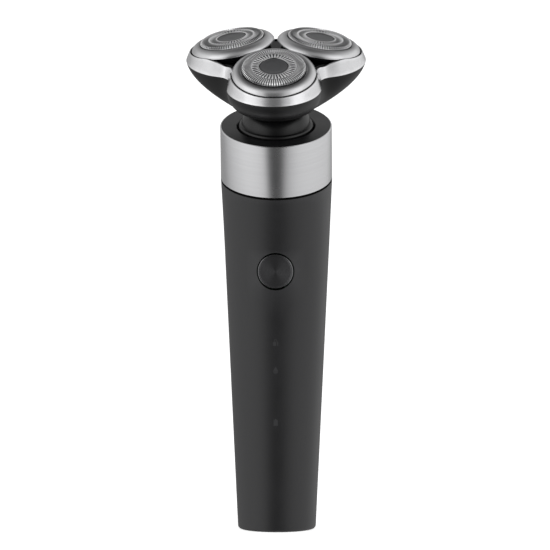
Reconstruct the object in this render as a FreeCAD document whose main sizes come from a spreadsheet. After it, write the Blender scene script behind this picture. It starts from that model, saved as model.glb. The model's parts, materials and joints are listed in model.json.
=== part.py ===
"""Rotary electric shaver: tapered handle, metal collar and a pull-off head with three floating units.

Lengths are millimetres. The origin is the centre of the flat base, +Z runs up the handle and the
power button faces -Y. The collar and the head share a second axis, the head axis, which leans
towards the button.
"""
import FreeCAD, Part
import math
import os
import re

import Sketcher
from FreeCAD import Placement, Rotation, Vector

os.makedirs("parts", exist_ok=True)
doc = FreeCAD.newDocument("rotary_shaver")

SIZES = [
    ("base_radius", 13.6, "handle radius at the floor"),
    ("base_round", 1.3, "rounding of the handle's lower edge"),
    ("wall", 1.8, "handle casing thickness"),
    ("cap_radius", 11.6, "bottom cap radius"),
    ("cap_thickness", 3.0, "bottom cap thickness"),
    ("inlet_width", 9.4, "charging inlet width in the bottom cap"),
    ("inlet_depth", 3.6, "charging inlet depth in the bottom cap"),
    ("inlet_centre", 6.0, "charging inlet centre behind the handle axis"),
    ("collar_radius", 19.4, "collar outer radius, and the handle radius under it"),
    ("bend_start", 98.5, "height where the handle begins to lean forward"),
    ("joint_height", 123.2, "height of the joint between handle and collar"),
    ("head_tilt", 20.0, "lean of the head axis, degrees"),
    ("joint_gap", 0.85, "black line between handle and collar"),
    ("collar_top", 20.0, "collar top plane above the joint"),
    ("collar_wall", 1.1, "collar ring thickness"),
    ("collar_lip", 0.45, "thin lip of the collar ring round its cover"),
    ("hole_radius", 13.5, "hole in the collar cover"),
    ("skirt_radius", 12.9, "neck where it enters the hole"),
    ("waist_radius", 9.4, "neck at its narrowest"),
    ("waist_height", 5.6, "waist above the collar top"),
    ("button_height", 91.5, "power button centre above the floor"),
    ("button_radius", 6.1, "power button cap radius"),
    ("button_gap", 0.45, "gap around the button"),
    ("board_front", 9.6, "circuit board face, in front of the handle axis"),
    ("cell_radius", 7.1, "battery cell radius"),
    ("cell_length", 50.0, "battery cell length"),
    ("motor_radius", 8.5, "motor can radius"),
    ("shaft_radius", 1.0, "motor shaft radius"),
    ("mount_radius", 16.9, "motor mount radius"),
    ("motor_screws", 5.5, "motor screws from the head axis"),
    ("screw_circle", 15.9, "radius of the seat screws"),
    ("plate_circle", 9.6, "radius of the gear plate screws"),
    ("running_gap", 0.05, "radial clearance of a shaft in its bearing"),
    ("fit_gap", 0.1, "gap between pieces that sit in each other"),
    ("unit_height", 29.6, "guard face above the collar top"),
    ("unit_pitch", 17.8, "guard face centre from the head axis"),
    ("unit_tilt", 11.0, "outward lean of a shaving unit, degrees"),
    ("guard_radius", 11.0, "guard radius"),
    ("guard_hole", 4.9, "central hole of the guard"),
    ("ring_radius", 14.55, "metal ring outer radius"),
    ("ring_depth", 3.0, "metal ring edge below the guard face"),
    ("rim_radius", 15.2, "lobe radius at the upper edge of the head band"),
    ("rim_wall", 0.3, "thickness of the band at its upper edge"),
    ("band_wall", 1.0, "thickness of the band at its lower edge"),
    ("rim_depth", 3.1, "upper edge of the band below the guard face"),
    ("rim_dip", 3.0, "drop of the band's upper edge between two units"),
    ("band_radius", 16.3, "lobe radius at the lower edge of the band"),
    ("band_pitch", 17.2, "lobe centre at the lower edge of the band"),
    ("band_height", 21.0, "lower edge of the band above the collar top"),
    ("well_radius", 15.2, "clearance round a shaving unit"),
    ("valley_radius", 5.0, "concave rounding between two lobes"),
    ("belly_pitch", 15.2, "lobe centre that the funnel bends towards"),
    ("belly_height", 14.0, "height that the funnel bends towards"),
    ("foot_pitch", 0.4, "lobe centre at the bottom of the funnel"),
    ("foot_radius", 11.1, "lobe radius at the bottom of the funnel"),
    ("foot_height", 6.4, "bottom of the funnel above the collar top"),
    ("head_wall", 1.3, "head shell thickness"),
    ("gear_module", 0.9, "tooth size"),
    ("sun_teeth", 21, "teeth of the central gear"),
    ("planet_teeth", 16, "teeth of each outer gear"),
    ("gear_distance", 16.75, "outer gear axis from the head axis"),
    ("gear_bottom", 14.4, "underside of the gears above the collar top"),
    ("gear_width", 3.0, "gear thickness"),
    ("pin_radius", 1.5, "drive pin and input shaft radius"),
]

UNIT_ANGLES = [-90, 30, 150]
SCREW_ANGLES = [-30, 90, 210]
PRESSURE_ANGLE = math.radians(20)


def make_sheet():
    """The driving dimensions, one named cell each."""
    table = doc.addObject("Spreadsheet::Sheet", "dims")
    for row, (alias, value, meaning) in enumerate(SIZES, start=1):
        table.set(f"A{row}", meaning)
        table.set(f"B{row}", str(value))
        table.setAlias(f"B{row}", alias)
    doc.recompute()
    return table


sheet = make_sheet()


def bound(formula):
    """A formula of dimension names, written the way an expression needs them."""
    return re.sub(r"\b[a-z_]+\b(?!\()", r"dims.\g<0>", str(formula))


def size(formula):
    """The number that a formula of dimension names gives."""
    return float(sheet.evalExpression(bound(formula)))


# ---------------------------------------------------------------- places

TILT = size("head_tilt")
BEND_LENGTH = size("joint_height - bend_start")
BEND_RADIUS = BEND_LENGTH / math.sin(math.radians(TILT))
TAPER = size("(collar_radius - base_radius) / joint_height")


def handle_radius(height):
    """Outer radius of the casing at a height along the handle."""
    return size("base_radius") + TAPER * height


def at(x, y, z=0.0):
    """Frame at a point, with the axes of the handle."""
    return Placement(Vector(x, y, z), Rotation())


def bend_place(angle):
    """Frame on the handle's centre line where it has leant forward by an angle in degrees."""
    turn = math.radians(angle)
    centre = Vector(
        0,
        -BEND_RADIUS * (1 - math.cos(turn)),
        size("bend_start") + BEND_RADIUS * math.sin(turn),
    )
    return Placement(centre, Rotation(Vector(1, 0, 0), angle))


def button_place():
    """Frame on the casing at the button, its Z axis pointing straight out of the surface."""
    height = size("button_height")
    lean = math.degrees(math.atan(TAPER))
    centre = Vector(0, -handle_radius(height), height)
    return Placement(centre, Rotation(Vector(1, 0, 0), 90 + lean))


def on_circle(angle, radius, height=0.0):
    """Frame at a point of a circle about the local Z axis, its X axis pointing outward."""
    turn = math.radians(angle)
    centre = Vector(radius * math.cos(turn), radius * math.sin(turn), height)
    return Placement(centre, Rotation(Vector(0, 0, 1), angle))


def unit_place(angle):
    """Frame of one shaving unit: origin on the guard face, Z along the unit's leaning axis."""
    lean = Placement(Vector(0, 0, 0), Rotation(Vector(0, 1, 0), size("unit_tilt")))
    face = on_circle(angle, size("unit_pitch"), size("collar_top + unit_height"))
    return HEAD.multiply(face).multiply(lean)


FORWARD = Rotation(Vector(1, 0, 0), 90)
HANDLE = Placement()
HEAD = bend_place(TILT)
BUTTON = button_place()


# ---------------------------------------------------------------- building blocks

NODES = []


def node(piece, label, place=HANDLE):
    """Name a finished piece, put it in its place and list it for writing."""
    piece.Label = label
    piece.Placement = place
    NODES.append(piece)
    return piece


def half_section(body, corners):
    """A closed sketch in the XZ plane; each corner is (radius formula, height formula[, arc]).

    An arc is (radius formula, side) and replaces the straight edge that leaves the corner; side is
    +1 when its centre is to the left of the edge and -1 when it is to the right.
    """
    sketch = body.newObject("Sketcher::SketchObject", "section")
    plane = next(f for f in body.Origin.OriginFeatures if f.Role == "XZ_Plane")
    sketch.AttachmentSupport = (plane, [""])
    sketch.MapMode = "FlatFace"
    points = [Vector(size(corner[0]), size(corner[1]), 0) for corner in corners]
    starts = []
    ends = []
    for index, corner in enumerate(corners):
        first = points[index]
        last = points[(index + 1) % len(points)]
        if len(corner) == 2:
            sketch.addGeometry(Part.LineSegment(first, last))
            starts.append((index, 1))
            ends.append((index, 2))
            continue
        radius, side = size(corner[2][0]), corner[2][1]
        chord = last - first
        left = Vector(-chord.y, chord.x, 0).normalize()
        rise = math.sqrt(radius**2 - (chord.Length / 2) ** 2)
        middle = first + chord / 2 + left * side * (rise - radius)
        sketch.addGeometry(Part.Arc(first, middle, last))
        starts.append((index, 1) if side > 0 else (index, 2))
        ends.append((index, 2) if side > 0 else (index, 1))
        number = sketch.addConstraint(Sketcher.Constraint("Radius", index, radius))
        sketch.setExpression(f"Constraints[{number}]", bound(corner[2][0]))
    for index, corner in enumerate(corners):
        following = (index + 1) % len(corners)
        sketch.addConstraint(Sketcher.Constraint("Coincident", *ends[index], *starts[following]))
        pin_to(sketch, "X", starts[index], corner[0], points[index].x)
        pin_to(sketch, "Y", starts[index], corner[1], points[index].y)
    return sketch


def pin_to(sketch, direction, point, formula, value):
    """Hold one sketch point at a formula's distance from the origin along X or Y."""
    if abs(value) < 1e-9:
        axis = -2 if direction == "X" else -1
        sketch.addConstraint(Sketcher.Constraint("PointOnObject", *point, axis))
        return
    number = sketch.addConstraint(Sketcher.Constraint("Distance" + direction, -1, 1, *point, value))
    sketch.setExpression(f"Constraints[{number}]", bound(formula))


def turned(corners):
    """A body turned about its own Z axis from a half section."""
    body = doc.addObject("PartDesign::Body", "turned")
    sketch = half_section(body, corners)
    turn = body.newObject("PartDesign::Revolution", "turn")
    turn.Profile = sketch
    turn.ReferenceAxis = (sketch, ["V_Axis"])
    turn.Angle = 360
    sketch.Visibility = False
    return body


def tube(inner, outer, bottom, top):
    """A plain ring between two radii and two heights."""
    return turned([(inner, bottom), (outer, bottom), (outer, top), (inner, top)])


def disc(radius, bottom, top):
    """A plain round plate between two heights."""
    return tube("0", radius, bottom, top)


def sized(kind, place=None, **formulas):
    """A Part primitive with each named property bound to a formula."""
    piece = doc.addObject("Part::" + kind, "primitive")
    for key, formula in formulas.items():
        setattr(piece, key, size(formula))
        piece.setExpression(key, bound(formula))
    if place is not None:
        piece.Placement = place
    return piece


def rod(radius, bottom, top, place=Placement()):
    """A cylinder along the local Z axis between two heights."""
    start = place.multiply(Placement(Vector(0, 0, size(bottom)), Rotation()))
    return sized("Cylinder", start, Radius=radius, Height=f"{top} - ({bottom})")


def rods_round(angles, circle, radius, bottom, top):
    """The same rod at several angles of a circle about the local Z axis."""
    return [rod(radius, bottom, top, on_circle(angle, size(circle))) for angle in angles]


def motor_screw_places():
    """The two motor screws' places, either side of the head axis."""
    return [at(side * size("motor_screws"), 0) for side in (-1, 1)]


def block(width, depth, height, corner):
    """A box with its lowest corner at three formulas."""
    place = Placement(Vector(*[size(value) for value in corner]), Rotation())
    return sized("Box", place, Length=width, Width=depth, Height=height)


def less(base, *tools):
    """The base with every tool cut out of it."""
    for tool in tools:
        result = doc.addObject("Part::Cut", "cut")
        result.Base = base
        result.Tool = tool
        base = result
    return base


def joined(*pieces):
    """Pieces fused into one solid."""
    result = doc.addObject("Part::MultiFuse", "fused")
    result.Shapes = list(pieces)
    result.Refine = True
    return result


def group(*pieces):
    """Separate solids kept in one node."""
    result = doc.addObject("Part::Compound", "group")
    result.Links = list(pieces)
    return result


def drawn(shape):
    """A sub-part whose shape is worked out in code."""
    piece = doc.addObject("Part::Feature", "shape")
    piece.Shape = shape
    return piece


# ---------------------------------------------------------------- handle

def casing_form(inset, floor):
    """The solid form of the handle above a floor height, inset from its outside."""
    slope = "(collar_radius - base_radius) / joint_height"
    low = f"base_radius - {inset} + {floor} * {slope}"
    high = f"base_radius - {inset} + bend_start * {slope}"
    start = at(0, 0, size(floor))
    height = f"bend_start - {floor}"
    straight = sized("Cone", start, Radius1=low, Radius2=high, Height=height)
    circles = []
    steps = 4
    for step in range(steps + 1):
        share = step / steps
        circle = doc.addObject("Part::Circle", "ring")
        radius = f"{high} + (joint_height - bend_start) * {share} * {slope}"
        circle.setExpression("Radius", bound(radius))
        circle.Placement = bend_place(TILT * share)
        circles.append(circle)
    bend = doc.addObject("Part::Loft", "bend")
    bend.Sections = circles
    bend.Solid = True
    return joined(straight, bend)


def make_handle_shell():
    """Soft-touch casing with the openings for the bottom cap and the button."""
    outside = casing_form("0", "0")
    doc.recompute()
    rounded = doc.addObject("Part::Fillet", "rounded")
    rounded.Base = outside
    lowest = min(range(len(outside.Shape.Edges)), key=lambda i: outside.Shape.Edges[i].BoundBox.ZMax)
    radius = size("base_round")
    rounded.Edges = [(lowest + 1, radius, radius)]
    space = casing_form("wall", "3")
    mouth = rod("collar_radius - wall", "0 - 0.01", "1", HEAD)
    cap_hole = rod("cap_radius + fit_gap", "0 - 1", "4")
    button_hole = rod("button_radius + button_gap", "0 - 6", "3", BUTTON)
    node(less(rounded, space, mouth, cap_hole, button_hole), "handle_shell")


def centred_block(width, depth, bottom, top):
    """A box about the inlet's centre line between two heights."""
    corner = (f"0 - ({width}) / 2", f"inlet_centre - ({depth}) / 2", bottom)
    return block(width, depth, f"{top} - ({bottom})", corner)


def make_base():
    """Bottom cap with its charging inlet, and the socket and contacts behind it."""
    cap = disc("cap_radius", "0", "cap_thickness")
    inlet = centred_block("inlet_width", "inlet_depth", "0 - 1", "cap_thickness + 1")
    node(less(cap, inlet), "base_cap")
    housing = centred_block("inlet_width + 2", "inlet_depth + 2", "cap_thickness + fit_gap", "9.1")
    cavity = centred_block("inlet_width - 0.4", "inlet_depth - 0.4", "cap_thickness - 1", "8")
    node(less(housing, cavity), "charging_socket")
    pins = [rod("0.5", "2", "8", at(side * 2.2, size("inlet_centre"))) for side in (-1, 1)]
    node(group(*pins), "socket_contacts")


def make_frame():
    """Chassis: two bulkheads joined by a web that separates the cell from the board."""
    lower = less(rod("11.9", "9.5", "12"), rod("1.2", "9", "13", at(-8.5, 0)))
    upper = less(rod("14.9", "85.2", "87.2"), rod("2.2", "85", "88", at(11, 4)))
    web = block("14", "1.6", "75", ("0 - 7", "0 - 6.6", "11"))
    room = block("17.4", "4", "100", ("0 - 8.7", "0 - 12.6", "10"))
    board_side = block("40", "20", "100", ("0 - 20", "0 - 28.1", "9"))
    frame = less(joined(lower, upper, web), room, board_side)
    screw_holes = [rod("0.85", "80", "90", at(side * 5.0, -6.0)) for side in (-1, 1)]
    node(less(frame, *screw_holes), "inner_frame")


def make_battery():
    """Lithium cell behind the web, with a welded tab on each end."""
    place = at(0, 3.0, 24.0)
    cell = turned([
        ("0", "0"),
        ("cell_radius - 0.4", "0"),
        ("cell_radius", "0.4"),
        ("cell_radius", "cell_length - 0.8"),
        ("cell_radius - 0.8", "cell_length"),
        ("2.4", "cell_length"),
        ("2.4", "cell_length + 0.8"),
        ("0", "cell_length + 0.8"),
    ])
    node(cell, "battery_cell", place)
    low_tab = block("5", "10.5", "0.25", ("0 - 2.5", "0 - 7.0", "0 - 0.3"))
    high_tab = block("4", "10.5", "0.25", ("0 - 2", "0 - 7.0", "cell_length + 0.85"))
    node(group(low_tab, high_tab), "battery_tabs", place)


def make_electronics():
    """Circuit board, the switch under the button and the three light guides."""
    board = block("16", "1.2", "70", ("0 - 8", "0 - board_front", "30"))
    holes = [rod("0.9", "0 - 2", "4", Placement(Vector(side * 6.4, -8, 95), FORWARD)) for side in (-1, 1)]
    node(less(board, *holes), "circuit_board")
    housing = block("6", "6", "2.2", ("0 - 3", "0 - 3", "0 - 8.05"))
    bore = rod("1.2 + fit_gap", "0 - 7.6", "0")
    node(less(housing, bore), "tact_switch", BUTTON)
    guides = []
    for height in (66.7, 57.0, 38.7):
        reach = handle_radius(height) - size("wall") - 0.6
        length = reach - size("board_front") - 0.1
        place = Placement(Vector(0, -size("board_front") - 0.1, height), FORWARD)
        guides.append(rod("1.5", "0", f"{length}", place))
    node(group(*guides), "icon_lights")


def make_motor():
    """Motor can with its end bell, and the mount that carries it under the collar."""
    can = turned([
        ("shaft_radius + running_gap", "0 - 6.8"),
        ("motor_radius - 0.8", "0 - 6.8"),
        ("motor_radius - 0.8", "0 - 31"),
        ("motor_radius", "0 - 31"),
        ("motor_radius", "0 - 6.6"),
        ("motor_radius - 0.6", "0 - 6"),
        ("3", "0 - 6"),
        ("3", "0 - 4.4"),
        ("shaft_radius + running_gap", "0 - 4.4"),
    ])
    threads = [rod("0.75", "0 - 8", "0 - 5", place) for place in motor_screw_places()]
    node(less(can, *threads), "motor_can", HEAD)
    bell = turned([
        ("shaft_radius + running_gap", "0 - 33"),
        ("3", "0 - 33"),
        ("3", "0 - 32.2"),
        ("motor_radius - 0.3", "0 - 32.2"),
        ("motor_radius - 0.3", "0 - 31.05"),
        ("shaft_radius + running_gap", "0 - 31.05"),
    ])
    node(bell, "motor_bell", HEAD)
    magnet_ring = tube("motor_radius - 2.4", "motor_radius - 0.85", "0 - 28", "0 - 10")
    slots = block("3", "30", "30", ("0 - 1.5", "0 - 15", "0 - 34"))
    node(less(magnet_ring, slots), "motor_magnets", HEAD)
    plate = tube("3.1", "mount_radius", "0 - 5.9", "0 - 3.9")
    posts = rods_round(SCREW_ANGLES, "screw_circle", "1.3", "0 - 4", "9.2")
    pilots = rods_round(SCREW_ANGLES, "screw_circle", "0.75", "2.5", "9.5")
    through = [rod("0.9", "0 - 7", "0 - 3", place) for place in motor_screw_places()]
    body = joined(plate, *posts)
    node(less(body, *pilots, *through), "motor_mount", HEAD)


def screw(head_radius, shank_radius, under_head, head_height, length):
    """A pan-head screw along Z; under_head is the height of the face it clamps."""
    top = under_head + head_height
    return turned([
        ("0", f"{under_head - length}"),
        (f"{shank_radius}", f"{under_head - length}"),
        (f"{shank_radius}", f"{under_head}"),
        (f"{head_radius}", f"{under_head}"),
        (f"{head_radius}", f"{top - 0.3}"),
        (f"{head_radius - 0.3}", f"{top}"),
        ("0", f"{top}"),
    ])


def placed(piece, place):
    """A piece moved to its place inside a group."""
    piece.Placement = place
    return piece


def make_handle_screws():
    """Motor screws, board screws and seat screws."""
    pair = [placed(screw(1.7, 0.7, -3.9, 1.1, 3.8), place) for place in motor_screw_places()]
    node(group(*pair), "motor_screws", HEAD)
    board = []
    for side in (-1, 1):
        front = Placement(Vector(side * 6.4, -size("board_front"), 95), FORWARD)
        board.append(placed(screw(1.4, 0.75, 0.0, 0.9, 3.4), front))
    node(group(*board), "board_screws")
    ring = []
    for angle in SCREW_ANGLES:
        ring.append(placed(screw(1.3, 0.7, 10.5, 1.0, 7.0), on_circle(angle, size("screw_circle"))))
    node(group(*ring), "seat_screws", HEAD)


def make_collar():
    """Gasket, metal ring, annular cover and the seat that takes the head."""
    node(tube("17.3", "collar_radius - collar_wall", "0", "joint_gap"), "joint_gasket", HEAD)
    ring = turned([
        ("collar_radius - collar_wall", "joint_gap"),
        ("collar_radius", "joint_gap"),
        ("collar_radius", "collar_top - 0.3"),
        ("collar_radius - 0.3", "collar_top"),
        ("collar_radius - collar_lip", "collar_top"),
        ("collar_radius - collar_lip", "collar_top - 1.5"),
        ("collar_radius - collar_wall", "collar_top - 1.5"),
    ])
    node(ring, "collar_ring", HEAD)
    cover = turned([
        ("hole_radius", "collar_top - 1.4"),
        ("collar_radius - collar_lip - fit_gap", "collar_top - 1.4"),
        ("collar_radius - collar_lip - fit_gap", "collar_top - 0.1"),
        ("hole_radius + 0.3", "collar_top - 0.1"),
        ("hole_radius", "collar_top - 0.4"),
    ])
    node(cover, "collar_cover", HEAD)
    cup = turned([
        ("3.6", "9.3"),
        ("collar_radius - collar_wall - fit_gap", "9.3"),
        ("collar_radius - collar_wall - fit_gap", "10.5"),
        ("hole_radius + 0.9", "10.5"),
        ("hole_radius + 0.9", "collar_top - 1.5"),
        ("hole_radius", "collar_top - 1.5"),
        ("hole_radius", "10.5"),
        ("3.6", "10.5"),
    ])
    holes = rods_round(SCREW_ANGLES, "screw_circle", "0.85", "9", "11")
    node(less(cup, *holes), "head_seat", HEAD)
    seal = turned([
        ("shaft_radius + running_gap", "9.3"),
        ("3.55", "9.3"),
        ("3.55", "10.6"),
        ("2.4", "11.8"),
        ("shaft_radius + running_gap", "11.8"),
    ])
    node(seal, "shaft_seal", HEAD)
    spring = tube("hole_radius - 0.42", "hole_radius - 0.03", "15", "16")
    gap = block("4", "30", "3", ("0 - 2", "0", "14"))
    node(less(spring, gap), "latch_spring", HEAD)


# ---------------------------------------------------------------- button and drive

def make_button():
    """Metal cap on its plastic stem, and the switch plunger behind it."""
    cap = turned([
        ("0", "0 - 1.5"),
        ("button_radius", "0 - 1.5"),
        ("button_radius", "0 - 0.55"),
        ("button_radius - 0.3", "0 - 0.25"),
        ("0", "0 - 0.25"),
    ])
    node(cap, "button_cap", BUTTON)
    stem = turned([
        ("0", "0 - 4.9"),
        ("1.6", "0 - 4.9"),
        ("1.6", "0 - 2.9"),
        ("button_radius - 0.3", "0 - 2.9"),
        ("button_radius - 0.3", "0 - 1.5"),
        ("0", "0 - 1.5"),
    ])
    node(stem, "button_stem", BUTTON)
    node(disc("1.2", "0 - 6.9", "0 - 4.9"), "switch_plunger", BUTTON)


def make_drive():
    """Motor shaft, the armature on it and the six-sided drive end."""
    node(disc("shaft_radius", "0 - 34", "16.5"), "motor_shaft", HEAD)
    armature = tube("shaft_radius", "motor_radius - 2.8", "0 - 27", "0 - 11")
    slots = [block("1.2", "8", "30", ("0 - 0.6", "3.6", "0 - 34")) for _ in range(3)]
    for slot, turn in zip(slots, (0, 120, 240)):
        spin = Placement(Vector(0, 0, 0), Rotation(Vector(0, 0, 1), turn))
        slot.Placement = spin.multiply(slot.Placement)
    node(less(armature, *slots), "motor_armature", HEAD)
    prism = sized("Prism", at(0, 0, 12.3), Circumradius="2.3", Height="4.6")
    node(less(prism, rod("shaft_radius", "12", "17")), "drive_coupling", HEAD)


# ---------------------------------------------------------------- lobed shapes of the head

LOBE_STEPS = 20
VALLEY_STEPS = 4


def lobed_points(pitch, radius, valley, height_of):
    """Points round three lobes joined by concave valleys, the first lobe on the first unit's side.

    height_of gives a point's height from its distance out along the nearest unit's direction and
    from its angle off that direction in degrees.
    """
    half = math.radians(60)
    far = pitch / 2 + math.sqrt((radius + valley) ** 2 - 0.75 * pitch**2)
    centre_x = far * math.cos(half)
    centre_y = far * math.sin(half)
    tangent = math.atan2(centre_y, centre_x - pitch)
    flat = []
    for step in range(LOBE_STEPS):
        turn = tangent * (2 * step / LOBE_STEPS - 1)
        flat.append((pitch + radius * math.cos(turn), radius * math.sin(turn)))
    for step in range(VALLEY_STEPS):
        turn = tangent + math.pi - 2 * (tangent - half) * step / VALLEY_STEPS
        flat.append((centre_x + valley * math.cos(turn), centre_y + valley * math.sin(turn)))
    points = []
    for unit in UNIT_ANGLES:
        spin = Rotation(Vector(0, 0, 1), unit)
        for x, y in flat:
            bearing = abs(math.degrees(math.atan2(y, x)))
            off = min(bearing, 120 - bearing)
            out = math.hypot(x, y) * math.cos(math.radians(off))
            points.append(spin.multVec(Vector(x, y, height_of(out, off))))
    return points


def lobed_wire(pitch, radius, valley, height_of):
    """The same outline as one closed smooth wire."""
    points = lobed_points(pitch, radius, valley, height_of)
    curve = Part.BSplineCurve()
    curve.interpolate(Points=points, PeriodicFlag=True, Parameters=list(range(len(points) + 1)))
    return Part.Wire(curve.toShape())


def flat_at(height):
    """A height rule for an outline in a level plane."""
    return lambda out, off: height


def rim_height(out, off):
    """Upper edge of the band: it follows the leaning units and dips between them."""
    lean = math.radians(size("unit_tilt"))
    depth = size("rim_depth")
    pitch = size("unit_pitch") - depth * math.sin(lean)
    level = size("collar_top + unit_height") - depth * math.cos(lean)
    share = min(max((off - 38) / 16, 0), 1)
    dip = size("rim_dip") * share**2 * (3 - 2 * share)
    return level - (out - pitch) * math.tan(lean) - dip


def funnel_wire(share, inset, lift):
    """Outline of the head shell; share runs from 0 under the band to 1 at the neck."""
    def blend(top, belly, foot):
        return top * (1 - share) ** 2 + 2 * belly * share * (1 - share) + foot * share**2
    pitch = blend(size("band_pitch"), size("belly_pitch"), size("foot_pitch"))
    radius = blend(size("band_radius"), size("band_radius"), size("foot_radius"))
    height = blend(size("band_height"), size("belly_height"), size("foot_height"))
    valley = size("valley_radius") / (1 - 0.93 * share)
    level = size("collar_top") + height + lift * share
    return lobed_wire(pitch, radius - inset, valley + inset, flat_at(level))


def strip(first, second):
    """The surface between two closed wires."""
    return Part.makeRuledSurface(first.Edges[0], second.Edges[0])


def make_head_shell():
    """Three-lobed funnel under the band, open at the top and fitted round the neck."""
    shares = [step / 8 for step in range(9)]
    wall = size("head_wall")
    outside = Part.makeLoft([funnel_wire(share, 0, 0) for share in shares], True, False)
    inside = Part.makeLoft([funnel_wire(share, wall, wall) for share in shares], True, False)
    low = size("collar_top + foot_height")
    neck_hole = Part.makeCylinder(size("waist_radius + fit_gap"), 4, Vector(0, 0, low - 1))
    node(drawn(outside.cut(inside).cut(neck_hole)), "head_shell", HEAD)


def make_head_trim():
    """Metal band round the lobes, level below and following the units above."""
    lean = math.radians(size("unit_tilt"))
    rim_pitch = size("unit_pitch") - size("rim_depth") * math.sin(lean)
    level = flat_at(size("collar_top + band_height"))

    def upper(inset):
        valley = size("valley_radius + band_radius - rim_radius") + inset
        return lobed_wire(rim_pitch, size("rim_radius") - inset, valley, rim_height)

    def lower(inset):
        valley = size("valley_radius") + inset
        return lobed_wire(size("band_pitch"), size("band_radius") - inset, valley, level)

    corners = [upper(0), lower(0), lower(size("band_wall")), upper(size("rim_wall"))]
    shell = Part.makeShell([strip(corners[side - 1], corners[side]) for side in range(4)])
    shell.sewShape()
    band = Part.Solid(Part.Shell(shell.Faces))
    if band.Volume < 0:
        band.reverse()
    node(drawn(band), "head_trim", HEAD)


def local_unit_place(angle):
    """A shaving unit's frame, in the frame of the head."""
    return HEAD.inverse().multiply(unit_place(angle))


def make_top_plate():
    """Dark well plate: its three tapered wells hold the units and its raised parts fill between them."""
    top = size("collar_top")
    low = lobed_wire(13.8, 14.2, 9.0, flat_at(top + 17.9))
    middle = lobed_wire(16.6, 14.8, 6.5, flat_at(top + 21.2))
    high = lobed_wire(17.1, 13.4, 8.0, flat_at(top + 24.9))
    plate = Part.makeLoft([low, middle], True, True).fuse(Part.makeLoft([middle, high], True, True))
    for angle in UNIT_ANGLES:
        place = local_unit_place(angle)
        well = Part.makeCone(11.6, size("well_radius"), 5.9, Vector(0, 0, -8.9))
        mouth = Part.makeCylinder(size("well_radius"), 12, Vector(0, 0, -3.0))
        hole = Part.makeCylinder(3.4, 6, Vector(0, 0, -12))
        for tool in (well, mouth, hole):
            tool.Placement = place.multiply(tool.Placement)
            plate = plate.cut(tool)
    solids = sorted(plate.Solids, key=lambda solid: solid.Volume)
    node(drawn(solids[-1]), "top_plate", HEAD)


# ---------------------------------------------------------------- head

def make_neck():
    """Hourglass neck: a skirt that drops into the collar and a tube that carries the head."""
    neck = turned([
        ("skirt_radius - 0.6", "collar_top - 6.8"),
        ("skirt_radius", "collar_top - 6.2"),
        ("skirt_radius", "collar_top + 0.2"),
        ("skirt_radius - 0.3", "collar_top + 0.7"),
        ("skirt_radius - 0.9", "collar_top + 1.1", ("6.5", 1)),
        ("waist_radius", "collar_top + waist_height"),
        ("waist_radius", "collar_top + gear_bottom - 1.8"),
        ("waist_radius - 1.3", "collar_top + gear_bottom - 1.8"),
        ("waist_radius - 1.3", "collar_top + waist_height"),
        ("skirt_radius - 1.3", "collar_top - 1.4"),
        ("skirt_radius - 1.3", "collar_top - 6.8"),
    ])
    node(neck, "neck", HEAD)


def involute_gear(teeth, turn):
    """Outline of a spur gear about the local Z axis, one tooth centred at an angle in degrees."""
    module = size("gear_module")
    pitch = teeth * module / 2
    base = pitch * math.cos(PRESSURE_ANGLE)
    tip = pitch + module
    root = pitch - 1.25 * module
    half_tooth = math.pi / (2 * teeth) + math.tan(PRESSURE_ANGLE) - PRESSURE_ANGLE

    def flank(radius):
        roll = math.sqrt(max((radius / base) ** 2 - 1, 0))
        return half_tooth - (roll - math.atan(roll))

    def spot(radius, angle):
        return Vector(radius * math.cos(angle), radius * math.sin(angle), 0)

    start = max(root, base)
    radii = [start + (tip - start) * step / 5 for step in range(6)]
    edges = []
    for tooth in range(teeth):
        middle = math.radians(turn) + 2 * math.pi * tooth / teeth
        rising = [spot(radius, middle - flank(radius)) for radius in radii]
        falling = [spot(radius, middle + flank(radius)) for radius in reversed(radii)]
        root_in = spot(root, middle - flank(start))
        root_out = spot(root, middle + flank(start))
        following = spot(root, middle + 2 * math.pi / teeth - flank(start))
        gap_middle = spot(root, middle + math.pi / teeth)
        for side in (rising, falling):
            curve = Part.BSplineCurve()
            curve.interpolate(side)
            edges.append(curve.toShape())
        edges.append(Part.Arc(rising[-1], spot(tip, middle), falling[0]).toShape())
        if root < base:
            edges.append(Part.makeLine(root_in, rising[0]))
            edges.append(Part.makeLine(falling[-1], root_out))
        edges.append(Part.Arc(root_out, gap_middle, following).toShape())
    return Part.Wire(Part.__sortEdges__(edges))


def spur_gear(teeth, turn, bore):
    """A gear blank with teeth between the gear heights of the head."""
    height = size("collar_top + gear_bottom")
    blank = Part.Face(involute_gear(teeth, turn)).extrude(Vector(0, 0, size("gear_width")))
    blank.translate(Vector(0, 0, height))
    return blank.cut(Part.makeCylinder(bore, 20, Vector(0, 0, height - 5)))


def make_gears():
    """Central gear and the three outer gears that mesh with it."""
    sun = spur_gear(int(size("sun_teeth")), UNIT_ANGLES[0], size("pin_radius"))
    node(drawn(sun), "sun_gear", HEAD)
    teeth = int(size("planet_teeth"))
    for number, angle in enumerate(UNIT_ANGLES, start=1):
        facing = angle + 180 + 180 / teeth
        gear = spur_gear(teeth, facing, size("pin_radius"))
        place = HEAD.multiply(Placement(on_circle(angle, size("gear_distance")).Base, Rotation()))
        node(drawn(gear), f"planet_gear_{number}", place)
        pin = turned([
            ("0", "collar_top + gear_bottom - 2"),
            ("pin_radius", "collar_top + gear_bottom - 2"),
            ("pin_radius", "collar_top + 22.5"),
            ("1.1", "collar_top + 23"),
            ("1.1", "collar_top + 24.2"),
            ("1.4", "collar_top + 24.6"),
            ("1.4", "collar_top + 25.6"),
            ("0.9", "collar_top + 26"),
            ("0", "collar_top + 26"),
        ])
        node(pin, f"drive_pin_{number}", place)


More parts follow.
